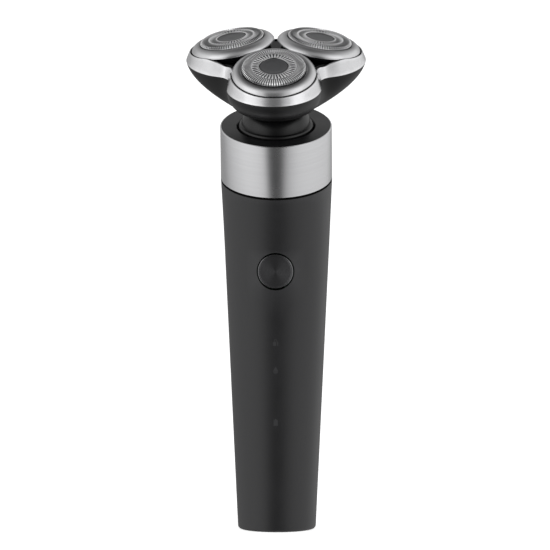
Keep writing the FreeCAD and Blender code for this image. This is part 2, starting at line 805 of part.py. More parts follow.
def make_head_inside():
    """Input shaft with its socket, the bearing bush, the gear plate and its screws."""
    cup = turned([
        ("0", "12.8"),
        ("3.9", "12.8"),
        ("3.9", "17.6"),
        ("pin_radius", "19.4"),
        ("pin_radius", "collar_top + gear_bottom + gear_width + 0.3"),
        ("0", "collar_top + gear_bottom + gear_width + 0.3"),
    ])
    socket = sized("Prism", at(0, 0, 12), Circumradius="2.6", Height="5.2")
    node(less(cup, socket), "input_shaft", HEAD)
    bush = tube("pin_radius + running_gap", "3", "collar_top + 10.6", "collar_top + gear_bottom - 0.1")
    node(bush, "input_bush", HEAD)
    low = "collar_top + gear_bottom - 1.7"
    high = "collar_top + gear_bottom - 0.5"
    arms = rods_round(UNIT_ANGLES, "gear_distance", "5.6", low, high)
    plate = joined(rod("12.9", low, high), *arms)
    pivots = rods_round(UNIT_ANGLES, "gear_distance", "pin_radius + running_gap", "30", "40")
    screw_holes = rods_round(SCREW_ANGLES, "plate_circle", "0.85", "30", "40")
    centre = rod("3 + fit_gap", "30", "40")
    node(less(plate, centre, *pivots, *screw_holes), "gear_plate", HEAD)
    screws = []
    for angle in SCREW_ANGLES:
        screws.append(placed(screw(1.4, 0.7, size(high), 0.4, 1.1), on_circle(angle, size("plate_circle"))))
    node(group(*screws), "head_screws", HEAD)


# ---------------------------------------------------------------- shaving units

def make_unit(number, angle):
    """One floating unit: metal ring, slotted guard, central cap, cradle and cutter."""
    place = unit_place(angle)
    ring = turned([
        ("guard_radius + 0.25", "0 - 2.9"),
        ("guard_radius + 0.25", "0 - 1.05"),
        ("guard_radius + 0.7", "0 - 0.95", ("9", -1)),
        ("ring_radius", "0 - ring_depth"),
        ("ring_radius", "0 - ring_depth - 0.5"),
        ("ring_radius - 1", "0 - ring_depth - 0.5"),
        ("ring_radius - 2", "0 - 2.9"),
    ])
    node(ring, f"cap_ring_{number}", place)
    guard = turned([
        ("guard_hole", "0 - 0.6"),
        ("guard_radius - 0.6", "0 - 0.6"),
        ("guard_radius - 0.6", "0 - 3.6"),
        ("guard_radius + 0.9", "0 - 3.6"),
        ("guard_radius + 0.9", "0 - 3"),
        ("guard_radius", "0 - 3"),
        ("guard_radius", "0 - 0.45"),
        ("guard_radius - 0.45", "0"),
        ("guard_hole", "0"),
    ])
    node(guard, f"guard_{number}", place)
    cap = turned([
        ("0", "0 - 1.1"),
        ("guard_hole - 0.05", "0 - 1.1"),
        ("guard_hole - 0.05", "0 - 0.3"),
        ("guard_hole - 0.35", "0 - 0.12"),
        ("0", "0 - 0.12"),
    ])
    node(cap, f"guard_cap_{number}", place)
    cradle = turned([
        ("4.4", "0 - 7.8"),
        ("9.6", "0 - 7.8", ("16", 1)),
        ("ring_radius - 1.1", "0 - 3.7"),
        ("ring_radius - 2.6", "0 - 3.7"),
        ("9.2", "0 - 6.8"),
        ("4.4", "0 - 6.8"),
    ])
    node(cradle, f"pod_cradle_{number}", place)
    node(cutter(), f"cutter_{number}", place)


def cutter():
    """Rotating cutter: a hub and disc with a ring of blades just under the guard."""
    disc_body = turned([
        ("0", "0 - 1.9"),
        ("0", "0 - 1.2"),
        ("2.6", "0 - 1.2"),
        ("2.6", "0 - 1.6"),
        ("9.6", "0 - 1.6"),
        ("9.6", "0 - 2.4"),
        ("3.6", "0 - 2.4"),
        ("3.6", "0 - 5.6"),
        ("2.1", "0 - 5.6"),
        ("2.1", "0 - 1.9"),
    ])
    blades = []
    for step in range(12):
        blade = block("2.8", "0.5", "1.2", ("6.8", "0 - 0.25", "0 - 1.85"))
        spin = Placement(Vector(0, 0, 0), Rotation(Vector(0, 0, 1), 30 * step))
        blade.Placement = spin.multiply(blade.Placement)
        blades.append(blade)
    return joined(disc_body, *blades)


# ---------------------------------------------------------------- assembly

def build():
    """Make every sub-part."""
    make_handle_shell()
    make_base()
    make_frame()
    make_battery()
    make_electronics()
    make_motor()
    make_handle_screws()
    make_collar()
    make_button()
    make_drive()
    make_neck()
    make_head_shell()
    make_head_trim()
    make_top_plate()
    make_head_inside()
    make_gears()
    for number, angle in enumerate(UNIT_ANGLES, start=1):
        make_unit(number, angle)
    doc.recompute()


def check():
    """Stop when any object failed or any sub-part is not a sound solid."""
    failed = [item.Label for item in doc.Objects if {"Invalid", "Error"} & set(item.State)]
    unsound = [
        piece.Label
        for piece in NODES
        if piece.Shape.isNull() or not piece.Shape.isValid() or not piece.Shape.Solids
    ]
    if failed or unsound:
        raise RuntimeError(f"failed: {failed}; not sound: {unsound}")


def write():
    """Write each sub-part to its own file."""
    for piece in NODES:
        piece.Shape.exportStep(f"parts/{piece.Label}.step")
        print(f"{piece.Label}: {len(piece.Shape.Solids)} solid(s), {piece.Shape.Volume:.1f} mm3")


build()
check()
write()
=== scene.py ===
"""Looks of a rotary electric shaver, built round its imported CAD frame.

Most of the frame's nodes keep their shapes and get finished materials. The turned pieces that show
most (collar, gasket, button cap, rings, guards and their caps) are modelled again here, finer and
about their own axis, so that circular brushing runs the right way. Places are metres in the row
frame; profiles are millimetres in a piece's own frame, whose Z axis is its turning axis.
"""

import json
import math

import bmesh
import bpy
from mathutils import Matrix, Vector


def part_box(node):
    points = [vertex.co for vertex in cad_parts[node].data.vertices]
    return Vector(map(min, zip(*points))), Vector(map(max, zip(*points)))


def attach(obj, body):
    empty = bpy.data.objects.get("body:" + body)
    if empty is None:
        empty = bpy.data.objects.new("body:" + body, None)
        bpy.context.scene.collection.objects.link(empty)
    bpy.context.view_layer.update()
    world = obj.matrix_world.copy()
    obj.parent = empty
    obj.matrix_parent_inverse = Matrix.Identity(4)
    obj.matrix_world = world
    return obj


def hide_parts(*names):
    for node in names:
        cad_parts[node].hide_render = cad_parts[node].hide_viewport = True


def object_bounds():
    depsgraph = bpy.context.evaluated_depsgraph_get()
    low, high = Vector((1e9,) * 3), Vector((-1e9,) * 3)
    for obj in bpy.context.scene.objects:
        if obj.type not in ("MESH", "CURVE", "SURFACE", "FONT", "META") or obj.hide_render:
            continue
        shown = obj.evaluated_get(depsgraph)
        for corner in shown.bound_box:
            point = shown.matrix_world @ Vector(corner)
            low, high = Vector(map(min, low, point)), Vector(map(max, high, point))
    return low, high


MM = 0.001
UNITS = (1, 2, 3)
JOINT_DEPTH = 5.0  # millimetres from a guard face down to its cutter's joint
SHARP_ANGLE = math.radians(32)  # edges that turn by more than this are shaded sharp

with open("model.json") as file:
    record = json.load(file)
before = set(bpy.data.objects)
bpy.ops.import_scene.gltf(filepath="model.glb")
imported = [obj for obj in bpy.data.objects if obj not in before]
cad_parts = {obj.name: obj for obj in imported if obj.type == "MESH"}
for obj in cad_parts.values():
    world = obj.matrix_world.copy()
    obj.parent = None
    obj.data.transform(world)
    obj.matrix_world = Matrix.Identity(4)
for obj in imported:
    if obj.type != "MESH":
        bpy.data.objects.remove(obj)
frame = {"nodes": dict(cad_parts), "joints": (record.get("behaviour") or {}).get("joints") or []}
bpy.context.view_layer.update()
cad_bounds = [list(corner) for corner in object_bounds()]
MIDDLE = (Vector(cad_bounds[0]) + Vector(cad_bounds[1])) / 2


# ---------------------------------------------------------------- places

def joint(name):
    """One joint of the record."""
    return next(item for item in frame["joints"] if item["name"] == name)


def upright(axis, centre):
    """Frame with its Z axis along a direction and its X axis as near to the row's X as it can be."""
    up = Vector(axis).normalized()
    side = (Vector((1, 0, 0)) - up * up.x).normalized()
    turn = Matrix((side, up.cross(side), up)).transposed()
    return Matrix.Translation(centre) @ turn.to_4x4()


def head_place():
    """Frame of the collar and the head: origin at the joint under the collar."""
    return upright(joint("head_release")["axis"], joint("motor_spin")["pos_m"])


def button_place():
    """Frame of the power button: origin at the middle of its cap, Z pointing out of the casing."""
    low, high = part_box("button_cap")
    return upright(-Vector(joint("button_press")["axis"]), (low + high) / 2)


def unit_place(number):
    """Frame of a shaving unit: origin on the guard face, Z along the cutter's axis."""
    spin = joint(f"cutter_{number}_spin")
    return upright(spin["axis"], Vector(spin["pos_m"]) + Vector(spin["axis"]) * (JOINT_DEPTH * MM))


HEAD = head_place()
BUTTON = button_place()


# ---------------------------------------------------------------- mesh blocks

def finished(name, mesh, place, body, material, replaced=()):
    """An object from a mesh in millimetres, in its place, riding on its body."""
    mesh.transform(Matrix.Scale(MM, 4))
    mesh.polygons.foreach_set("use_smooth", [True] * len(mesh.polygons))
    mesh.set_sharp_from_angle(angle=SHARP_ANGLE)
    mesh.materials.append(material)
    piece = bpy.data.objects.new(name, mesh)
    bpy.context.scene.collection.objects.link(piece)
    piece.matrix_world = place
    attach(piece, body)
    if replaced:
        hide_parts(*replaced)
    return piece


def eased(corners, radius, steps=3):
    """A closed profile with every corner replaced by a small arc of about the radius given."""
    points = []
    count = len(corners)
    for index in range(count):
        here = Vector(corners[index])
        back = Vector(corners[index - 1]) - here
        on = Vector(corners[(index + 1) % count]) - here
        turn = back.angle(on)
        if here.x < 1e-6 or turn > math.radians(165):
            points.append(tuple(here))
            continue
        reach = min(radius / math.tan(turn / 2), 0.45 * back.length, 0.45 * on.length)
        start = here + back.normalized() * reach
        end = here + on.normalized() * reach
        for step in range(steps + 1):
            share = step / steps
            bent = start * (1 - share) ** 2 + here * 2 * share * (1 - share) + end * share**2
            points.append(tuple(bent))
    return points


def arc(first, last, bulge, steps=10):
    """Points from one profile point to another along an arc that stands off the chord by bulge."""
    a, b = Vector(first), Vector(last)
    chord = b - a
    left = Vector((-chord.y, chord.x)).normalized()
    points = []
    for step in range(steps + 1):
        share = step / steps
        points.append(tuple(a + chord * share + left * bulge * 4 * share * (1 - share)))
    return points


def lathe(form, profile, steps):
    """Turn a closed profile of (radius, height) about Z into a bmesh; radius 0 makes a pole."""
    rings = []
    for radius, height in profile:
        if radius < 1e-6:
            rings.append([form.verts.new((0, 0, height))])
            continue
        ring = []
        for step in range(steps):
            turn = 2 * math.pi * step / steps
            ring.append(form.verts.new((radius * math.cos(turn), radius * math.sin(turn), height)))
        rings.append(ring)
    for index, low in enumerate(rings):
        high = rings[(index + 1) % len(rings)]
        if len(low) == 1 and len(high) == 1:
            continue
        for step in range(steps):
            after = (step + 1) % steps
            corners = [low[step % len(low)], low[after % len(low)]]
            corners += [high[after % len(high)], high[step % len(high)]]
            form.faces.new(list(dict.fromkeys(corners)))


def lathe_mesh(name, profiles, steps):
    """One mesh of one or more turned solids."""
    form = bmesh.new()
    for profile in profiles:
        lathe(form, profile, steps)
    return closed_mesh(name, form)


def closed_mesh(name, form):
    """The mesh of a bmesh, with its faces pointing outward."""
    bmesh.ops.recalc_face_normals(form, faces=form.faces)
    mesh = bpy.data.meshes.new(name)
    form.to_mesh(mesh)
    form.free()
    return mesh


# ---------------------------------------------------------------- material blocks

class Surface:
    """A material put together node by node round one Principled shader."""

    def __init__(self, name, metallic=0.0, ior=1.5, coat=0.0, anisotropy=0.0):
        self.material = bpy.data.materials.new(name)
        self.material.use_nodes = True
        self.tree = self.material.node_tree
        self.shader = self.tree.nodes["Principled BSDF"]
        self.shader.inputs["Metallic"].default_value = metallic
        self.shader.inputs["IOR"].default_value = ior
        self.shader.inputs["Coat Weight"].default_value = coat
        self.shader.inputs["Anisotropic"].default_value = anisotropy
        self.shader.inputs["Anisotropic Rotation"].default_value = 0.25

    def add(self, kind, inputs=(), **settings):
        """A node with its settings; inputs maps a socket's name or number to a value or a socket."""
        item = self.tree.nodes.new(kind)
        for key, value in settings.items():
            setattr(item, key, value)
        for key, value in dict(inputs).items():
            if isinstance(value, bpy.types.NodeSocket):
                self.tree.links.new(value, item.inputs[key])
            else:
                item.inputs[key].default_value = value
        return item

    def place(self):
        """Position on the object in metres."""
        return self.add("ShaderNodeTexCoord").outputs["Object"]

    def maths(self, operation, first, second=0.0):
        """The result of one operation on two values or sockets."""
        return self.add("ShaderNodeMath", {0: first, 1: second}, operation=operation).outputs[0]

    def reach_and_height(self):
        """Distance from the Z axis and height, in metres."""
        parts = self.add("ShaderNodeSeparateXYZ", {0: self.place()})
        squares = [self.maths("MULTIPLY", parts.outputs[axis], parts.outputs[axis]) for axis in (0, 1)]
        return self.maths("SQRT", self.maths("ADD", *squares)), parts.outputs[2]

    def round_the_axis(self):
        """Position as (distance from the Z axis, height), the same all the way round."""
        reach, height = self.reach_and_height()
        return self.add("ShaderNodeCombineXYZ", {0: reach, 1: height}).outputs[0]

    def noise(self, where, grain, detail=3.0):
        """Noise from 0 to 1 with features about one grain across, in metres."""
        inputs = {"Vector": where, "Scale": 1.0 / grain, "Detail": detail}
        return self.add("ShaderNodeTexNoise", inputs).outputs["Fac"]

    def between(self, factor, low, high):
        """A value that follows a factor from 0.25 to 0.75 between two limits."""
        inputs = {"Value": factor, "From Min": 0.25, "From Max": 0.75, "To Min": low, "To Max": high}
        return self.add("ShaderNodeMapRange", inputs).outputs[0]

    def mix(self, amount, first, second):
        """A colour from the first to the second; each is three numbers or a socket."""
        colours = {}
        for socket, colour in ((6, first), (7, second)):
            colours[socket] = colour if isinstance(colour, bpy.types.NodeSocket) else (*colour, 1)
        inputs = {"Factor": amount, **colours}
        return self.add("ShaderNodeMix", inputs, data_type="RGBA").outputs[2]

    def tint(self, factor, dark, light):
        """A colour between two colours."""
        return self.mix(self.between(factor, 0.0, 1.0), dark, light)

    def edge_wear(self, colour, worn, low=0.52, high=0.62):
        """The colour, lighter where the surface is a convex edge."""
        pointed = self.add("ShaderNodeNewGeometry").outputs["Pointiness"]
        inputs = {"Value": pointed, "From Min": low, "From Max": high}
        return self.mix(self.add("ShaderNodeMapRange", inputs).outputs[0], colour, worn)

    def painted_slot_shade(self, colour, inside, rim):
        """The colour, with painted shade on walls and undersides nearer the Z axis than the rim."""
        facing = self.add("ShaderNodeTexCoord").outputs["Normal"]
        upward = self.add("ShaderNodeSeparateXYZ", {0: facing}).outputs[2]
        reach, _ = self.reach_and_height()
        outer = self.maths("GREATER_THAN", reach, rim)
        amount = self.maths("MAXIMUM", self.maths("GREATER_THAN", upward, 0.5), outer)
        return self.mix(amount, inside, colour)

    def painted_shade_towards_axis(self, colour, shade, near, far):
        """The colour, fading to a darker painted shade from the far to the near distance from the Z axis."""
        reach, _ = self.reach_and_height()
        inputs = {"Value": reach, "From Min": near, "From Max": far}
        amount = self.add("ShaderNodeMapRange", inputs, interpolation_type="SMOOTHSTEP").outputs[0]
        return self.mix(amount, shade, colour)

    def bump(self, height, depth):
        """A surface normal for relief of a depth in metres."""
        inputs = {"Height": height, "Distance": depth, "Strength": 1.0}
        return self.add("ShaderNodeBump", inputs).outputs["Normal"]

    def finish(self, colour, roughness, normal=None, tangent=None):
        """Connect the results to the shader."""
        self.tree.links.new(colour, self.shader.inputs["Base Color"])
        self.tree.links.new(roughness, self.shader.inputs["Roughness"])
        if normal is not None:
            self.tree.links.new(normal, self.shader.inputs["Normal"])
        if tangent is not None:
            self.tree.links.new(tangent, self.shader.inputs["Tangent"])
        return self.material


def shades(colour, spread):
    """Two shades either side of a colour."""
    return [channel * (1 - spread) for channel in colour], [channel * (1 + spread) for channel in colour]


def moulded(name, colour, roughness, grain=0.3, depth=0.004, spread=0.12, coat=0.0, ior=1.5):
    """Moulded plastic or rubber: fine even grain, soft blotches in the gloss, paler edges."""
    surface = Surface(name, coat=coat, ior=ior)
    where = surface.place()
    grains = surface.noise(where, grain * MM, detail=2.0)
    cloud = surface.noise(where, 9 * MM, detail=4.0)
    tone = surface.tint(cloud, *shades(colour, spread))
    worn = surface.edge_wear(tone, [channel * 1.6 + 0.004 for channel in colour])
    gloss = surface.between(cloud, roughness * 0.92, roughness * 1.08)
    return surface.finish(worn, gloss, surface.bump(grains, depth * MM))


def brushed(name, colour, roughness, anisotropy, line=0.35, depth=0.0004, spread=0.03, rim=None, dim=None):
    """Turned metal: fine lines round the Z axis that stretch the highlights across them.

    With a rim, the walls of holes nearer the axis than the rim get painted shade, a dark colour for the
    shadow in them.
    With dim, a pair of distances from the axis, the metal gets painted shade: darker at the first and plain
    from the second on.
    """
    surface = Surface(name, metallic=1.0, anisotropy=anisotropy)
    around = surface.round_the_axis()
    lines = surface.noise(around, line * MM, detail=4.0)
    cloud = surface.noise(surface.place(), 6 * MM)
    tone = surface.tint(lines, *shades(colour, spread))
    if dim is not None:
        # Painted shade: the metal is darkened towards the axis, standing in for the shade next to the guard.
        tone = surface.painted_shade_towards_axis(tone, [channel * 0.3 for channel in colour], dim[0] * MM, dim[1] * MM)
    if rim is not None:
        # Painted shade: walls and undersides nearer the axis than the rim get a dark colour for the shadow
        # inside the slots.
        tone = surface.painted_slot_shade(tone, (0.02, 0.02, 0.021), rim * MM)
    gloss = surface.between(cloud, roughness * 0.92, roughness * 1.08)
    tangent = surface.add("ShaderNodeTangent", direction_type="RADIAL", axis="Z").outputs[0]
    return surface.finish(tone, gloss, surface.bump(lines, depth * MM), tangent)


def cut_metal(name, colour, roughness, grain=0.12, depth=0.001, spread=0.1):
    """Machined, rolled or stamped metal: faint grain and patchy gloss."""
    surface = Surface(name, metallic=1.0)
    where = surface.place()
    grains = surface.noise(where, grain * MM, detail=4.0)
    cloud = surface.noise(where, 5 * MM)
    tone = surface.tint(cloud, *shades(colour, spread))
    worn = surface.edge_wear(tone, [min(1.0, channel * 1.25) for channel in colour])
    gloss = surface.between(cloud, roughness * 0.8, roughness * 1.2)
    return surface.finish(worn, gloss, surface.bump(grains, depth * MM))


FINISHES = {
    "soft_touch": moulded("soft_touch_coating", (0.009, 0.009, 0.01), 0.4, depth=0.004),
    "base_plastic": moulded("base_moulding", (0.012, 0.012, 0.013), 0.5, grain=0.3, depth=0.01),
    "inner_black": moulded("inner_moulding", (0.01, 0.01, 0.011), 0.55, grain=0.3, depth=0.01),
    "frame_plastic": moulded("frame_moulding", (0.09, 0.09, 0.095), 0.5, grain=0.4, depth=0.01),
    "gear_plastic": moulded("acetal", (0.62, 0.61, 0.57), 0.4, grain=0.3, depth=0.004, spread=0.05),
    "head_plastic": moulded("head_moulding", (0.002, 0.002, 0.0022), 0.36, depth=0.003, ior=1.33),
    "neck_plastic": moulded("neck_moulding", (0.003, 0.003, 0.0033), 0.32, depth=0.003, ior=1.42),
    "satin_black": moulded("collar_moulding", (0.005, 0.005, 0.0055), 0.34, depth=0.003),
    "gloss_black": moulded("gloss_moulding", (0.006, 0.006, 0.007), 0.2, grain=0.5, depth=0.002, coat=0.3),
    "guard_cap_grey": moulded("cap_moulding", (0.065, 0.066, 0.069), 0.4, grain=0.3, depth=0.003),
    "light_guide": moulded("light_guide_resin", (0.2, 0.21, 0.23), 0.35, grain=0.3, depth=0.002),
    "battery_wrap": moulded("battery_sleeve", (0.05, 0.16, 0.3), 0.3, grain=0.6, depth=0.006, coat=0.3),
    "board": moulded("solder_mask", (0.02, 0.12, 0.05), 0.35, grain=0.5, depth=0.012, coat=0.4),
    "rubber_seal": moulded("gasket_rubber", (0.0012, 0.0012, 0.0013), 0.8, grain=0.3, depth=0.01, ior=1.15),
    "brushed_metal": brushed("brushed_collar", (0.6, 0.6, 0.61), 0.26, 0.6),
    # The ring's inner part next to the guard is darkened as painted shade.
    "ring_metal": brushed("brushed_ring", (0.62, 0.62, 0.63), 0.26, 0.5, dim=(11.2, 13.6)),
    "button_metal": brushed("brushed_button", (0.15, 0.15, 0.155), 0.2, 1.0),
    # The guard's slot walls and undersides carry painted shade for the shadow inside the slots.
    "guard_steel": brushed("guard_steel", (0.85, 0.85, 0.86), 0.22, 0.3, rim=10.99),
    "satin_metal": cut_metal("satin_band", (0.66, 0.66, 0.67), 0.24, grain=0.5, depth=0.0001, spread=0.03),
    "steel": cut_metal("machined_steel", (0.55, 0.55, 0.56), 0.3),
    "nickel": cut_metal("nickel_strip", (0.66, 0.63, 0.57), 0.28),
    "magnet": cut_metal("sintered_magnet", (0.16, 0.16, 0.17), 0.5, grain=0.3, depth=0.01),
    "copper": cut_metal("wound_copper", (0.72, 0.33, 0.18), 0.3, grain=0.3, depth=0.02),
    "bronze": cut_metal("sintered_bronze", (0.5, 0.32, 0.15), 0.45, grain=0.15, depth=0.01),
    "brass_contact": cut_metal("plated_contact", (0.78, 0.6, 0.28), 0.22),
}


def finish_frame():
    """Give every CAD node the finished material of its slot."""
    for item in frame["nodes"].values():
        for index, old in enumerate(item.data.materials):
            item.data.materials[index] = FINISHES[old.name.split(".")[0]]


# ---------------------------------------------------------------- collar and button

JOINT_GAP = 0.85
COLLAR_RADIUS = 19.4


def make_collar_ring():
    """Brushed metal collar with a bright turned edge and a thin lip round its cover."""
    wall, lip, rebate, chamfer, top = 1.1, 0.45, 1.5, 0.3, 20.0
    inner = COLLAR_RADIUS - wall
    corners = [
        (inner, JOINT_GAP), (COLLAR_RADIUS, JOINT_GAP), (COLLAR_RADIUS, top - chamfer),
        (COLLAR_RADIUS - chamfer, top), (COLLAR_RADIUS - lip, top),
        (COLLAR_RADIUS - lip, top - rebate), (inner, top - rebate),
    ]
    mesh = lathe_mesh("collar_band", [eased(corners, radius=0.08)], steps=256)
    finished("collar_band", mesh, HEAD, "handle", FINISHES["brushed_metal"], ["collar_ring"])


def make_joint_gasket():
    """Black rubber ring that fills the joint between casing and collar, almost flush with both."""
    outer, inner = COLLAR_RADIUS - 0.25, 17.3
    corners = [(inner, 0.0), (outer, 0.0), (outer, JOINT_GAP), (inner, JOINT_GAP)]
    mesh = lathe_mesh("gasket_band", [eased(corners, radius=0.05)], steps=192)
    finished("gasket_band", mesh, HEAD, "handle", FINISHES["rubber_seal"], ["joint_gasket"])


def make_button_cap():
    """Button cap with a narrow polished chamfer round a shallow conical face."""
    radius, half, sunk, dish = 6.1, 0.625, 0.04, 0.1
    face = half - sunk
    edge = [(0, -half), (radius, -half), (radius, half - 0.32), (radius - 0.26, half), (radius - 0.5, half)]
    near_axis = 0.0001
    cone = arc((radius - 0.62, face), (near_axis, face - dish), bulge=0.0, steps=14)
    cone[-1] = (0, face - dish)
    mesh = lathe_mesh("button_face", [eased(edge, radius=0.05) + cone], steps=128)
    finished(
        "button_face", mesh, BUTTON, "power_button", FINISHES["button_metal"], ["button_cap"]
    )


# ---------------------------------------------------------------- shaving units

GUARD_CELLS = 320  # equal steps round a guard; a slot or the metal beside it takes a few of them
GUARD_THICKNESS = 0.5
GUARD_RELIEF = [  # (radius, height) of the guard's upper side, from the hole out to the rim
    (4.95, -0.45), (5.0, -0.2), (5.1, -0.06), (5.3, 0.0), (5.5, -0.04), (5.65, -0.06), (7.4, -0.17),
    (7.55, -0.17), (7.75, -0.05), (7.95, -0.02), (8.15, -0.06), (8.3, -0.08), (9.9, -0.04), (10.2, -0.1),
    (10.5, -0.24), (10.75, -0.43), (10.92, -0.65), (11.0, -0.9),
]
SLOT_RINGS = [  # the slots of the outer ring run out through the rim
    {"from": 5.5, "to": 7.55, "pitch": 8, "open": 4, "crown": 0.2},
    {"from": 8.15, "to": 11.01, "pitch": 4, "open": 2, "crown": 0.13},
]


def guard_solid(band, cell):
    """Whether a cell of the guard's face is metal; band is the interval between two relief radii."""
    middle = (GUARD_RELIEF[band][0] + GUARD_RELIEF[band + 1][0]) / 2
    for ring in SLOT_RINGS:
        if ring["from"] < middle < ring["to"]:
            return cell % ring["pitch"] >= ring["open"]
    return True


def guard_point(radius, height, cell):
    """A point of the guard; the metal between two slots is crowned, outward where it turns down."""
    lift = 0.0
    for ring in SLOT_RINGS:
        share = (cell % ring["pitch"] - ring["open"]) / (ring["pitch"] - ring["open"])
        if share > 0 and ring["from"] < radius < ring["to"]:
            lift = ring["crown"] * math.sin(math.pi * share)
    bend, rim = 9.9, 11.0
    outward = min(1.0, max(0.0, (radius - bend) / (rim - bend)))
    reach = radius + lift * outward
    turn = 2 * math.pi * cell / GUARD_CELLS
    return reach * math.cos(turn), reach * math.sin(turn), height + lift * (1 - outward)


def guard_walls(band, cell):
    """Sides of a metal cell that need a wall, as (band, cell, band, cell) of their two ends."""
    after, before = (cell + 1) % GUARD_CELLS, (cell - 1) % GUARD_CELLS
    last = len(GUARD_RELIEF) - 2
    walls = []
    if band == 0 or not guard_solid(band - 1, cell):
        walls.append((band, cell, band, after))
    if band == last or not guard_solid(band + 1, cell):
        walls.append((band + 1, cell, band + 1, after))
    if not guard_solid(band, before):
        walls.append((band, cell, band + 1, cell))
    if not guard_solid(band, after):
        walls.append((band, after, band + 1, after))
    return walls


def guard_mesh(name):
    """Slotted guard: short slots near the cap, fine slots near the edge, and a skirt below."""
    form = bmesh.new()
    cells = range(GUARD_CELLS)
    upper, lower = [
        [
            [form.verts.new(guard_point(radius, height - drop, cell)) for cell in cells]
            for radius, height in GUARD_RELIEF
        ]
        for drop in (0.0, GUARD_THICKNESS)
    ]
    for band in range(len(GUARD_RELIEF) - 1):
        for cell in cells:
            if not guard_solid(band, cell):
                continue
            after = (cell + 1) % GUARD_CELLS
            for layer in (upper, lower):
                near, far = layer[band], layer[band + 1]
                form.faces.new((near[cell], far[cell], far[after], near[after]))
            for band_a, cell_a, band_b, cell_b in guard_walls(band, cell):
                top = (upper[band_a][cell_a], upper[band_b][cell_b])
                form.faces.new((*top, lower[band_b][cell_b], lower[band_a][cell_a]))
    loose = [vert for vert in form.verts if not vert.link_faces]
    bmesh.ops.delete(form, geom=loose, context="VERTS")
    skirt = [(10.45, -0.95), (11.0, -0.92), (11.0, -3.0), (11.9, -3.0), (11.9, -3.6), (10.45, -3.6)]
    lathe(form, eased(skirt, radius=0.06), steps=192)
    return closed_mesh(name, form)


def make_ring(number, place):
    """Metal ring round the guard: a dished face that falls away to a rolled outer edge."""
    face = arc((11.75, -1.1), (14.4, -2.75), bulge=0.4, steps=14)
    profile = [(11.4, -2.9), (11.4, -1.35)] + face
    profile += [(14.55, -3.0), (14.55, -3.45), (13.55, -3.5), (12.55, -2.9)]
    mesh = lathe_mesh(f"unit_ring_{number}", [profile], steps=224)
    finished(
        f"unit_ring_{number}", mesh, place, f"unit_{number}", FINISHES["ring_metal"],
        [f"cap_ring_{number}"],
    )


def make_guard_cap(number, place):
    """Plain cap in the middle of the guard: a shallow dish inside a rounded rim."""
    radius, bottom, dish = 4.85, -1.1, -0.22
    rim = [(radius, -0.42), (radius - 0.1, -0.2), (radius - 0.35, -0.1), (radius - 0.75, -0.12)]
    profile = [(0, bottom), (radius, bottom)] + rim
    profile += [(radius - 0.95, -0.2), (2.4, dish), (1.0, dish), (0, dish)]
    mesh = lathe_mesh(f"unit_cap_{number}", [profile], steps=96)
    finished(
        f"unit_cap_{number}", mesh, place, f"unit_{number}", FINISHES["guard_cap_grey"],
        [f"guard_cap_{number}"],
    )


def make_units():
    """The visible turned pieces of the three shaving units."""
    for number in UNITS:
        place = unit_place(number)
        make_ring(number, place)
        make_guard_cap(number, place)
        finished(
            f"unit_guard_{number}", guard_mesh(f"unit_guard_{number}"), place, f"unit_{number}",
            FINISHES["guard_steel"], [f"guard_{number}"],
        )


# ---------------------------------------------------------------- status icons

ICON_INK = moulded("icon_ink", (0.014, 0.014, 0.0152), 0.4, grain=0.3, depth=0.002)
GUIDE_HALF = 1.5  # half the height of a light guide, behind the middle of each symbol
DROP_STEP = 9.7  # from the top symbol down to the middle one


def half_turn(steps=10):
    """Angles over half a turn."""
    return [math.pi * step / steps for step in range(steps + 1)]


def lock_outline():
    """A generic padlock as two closed outlines: body and shackle."""
    body = [(-0.9, -1.1), (0.9, -1.1), (0.9, 0.25), (-0.9, 0.25)]
    outer = [(0.62 * math.cos(t), 0.25 + 0.95 * math.sin(t)) for t in half_turn()]
    inner = [(0.36 * math.cos(t), 0.25 + 0.66 * math.sin(t)) for t in reversed(half_turn())]
    return [body, outer + inner]


def drop_outline():
    """A generic water drop."""
    points = [(0.0, 1.35)]
    for step in range(17):
        turn = math.radians(35 - 250 * step / 16)
        points.append((0.85 * math.cos(turn), -0.35 + 0.85 * math.sin(turn)))
    return [points]


def battery_outline():
    """A generic battery: body and terminal."""
    body = [(-0.75, -1.2), (0.75, -1.2), (0.75, 0.95), (-0.75, 0.95)]
    tip = [(-0.3, 0.95), (0.3, 0.95), (0.3, 1.25), (-0.3, 1.25)]
    return [body, tip]


def on_casing(side, height):
    """Point and normal of the casing's front at a sideways distance and a height, in metres."""
    shell = frame["nodes"]["handle_shell"]
    _, spot, normal, _ = shell.ray_cast(Vector((side, -0.1, height)), Vector((0, 1, 0)))
    return spot, normal


def make_icon(name, outlines, height):
    """A faint printed symbol that follows the casing."""
    form = bmesh.new()
    proud, sunk = 0.03 * MM, -0.05 * MM
    for outline in outlines:
        rows = []
        for offset in (sunk, proud):
            row = []
            for across, up in outline:
                spot, normal = on_casing(across * MM, height + up * MM)
                row.append(form.verts.new((spot + normal * offset) / MM))
            rows.append(row)
        low, high = rows
        form.faces.new(low)
        form.faces.new(high)
        for index in range(len(low)):
            after = (index + 1) % len(low)
            form.faces.new((low[index], low[after], high[after], high[index]))
    mesh = closed_mesh(name, form)
    finished(name, mesh, Matrix.Identity(4), "handle", ICON_INK)


def make_icons():
    """Lock, cleaning and battery symbols over the three light guides."""
    low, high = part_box("icon_lights")
    top = high.z - GUIDE_HALF * MM
    make_icon("lock_icon", lock_outline(), top)
    make_icon("drop_icon", drop_outline(), top - DROP_STEP * MM)
    make_icon("battery_icon", battery_outline(), low.z + GUIDE_HALF * MM)


# ---------------------------------------------------------------- room

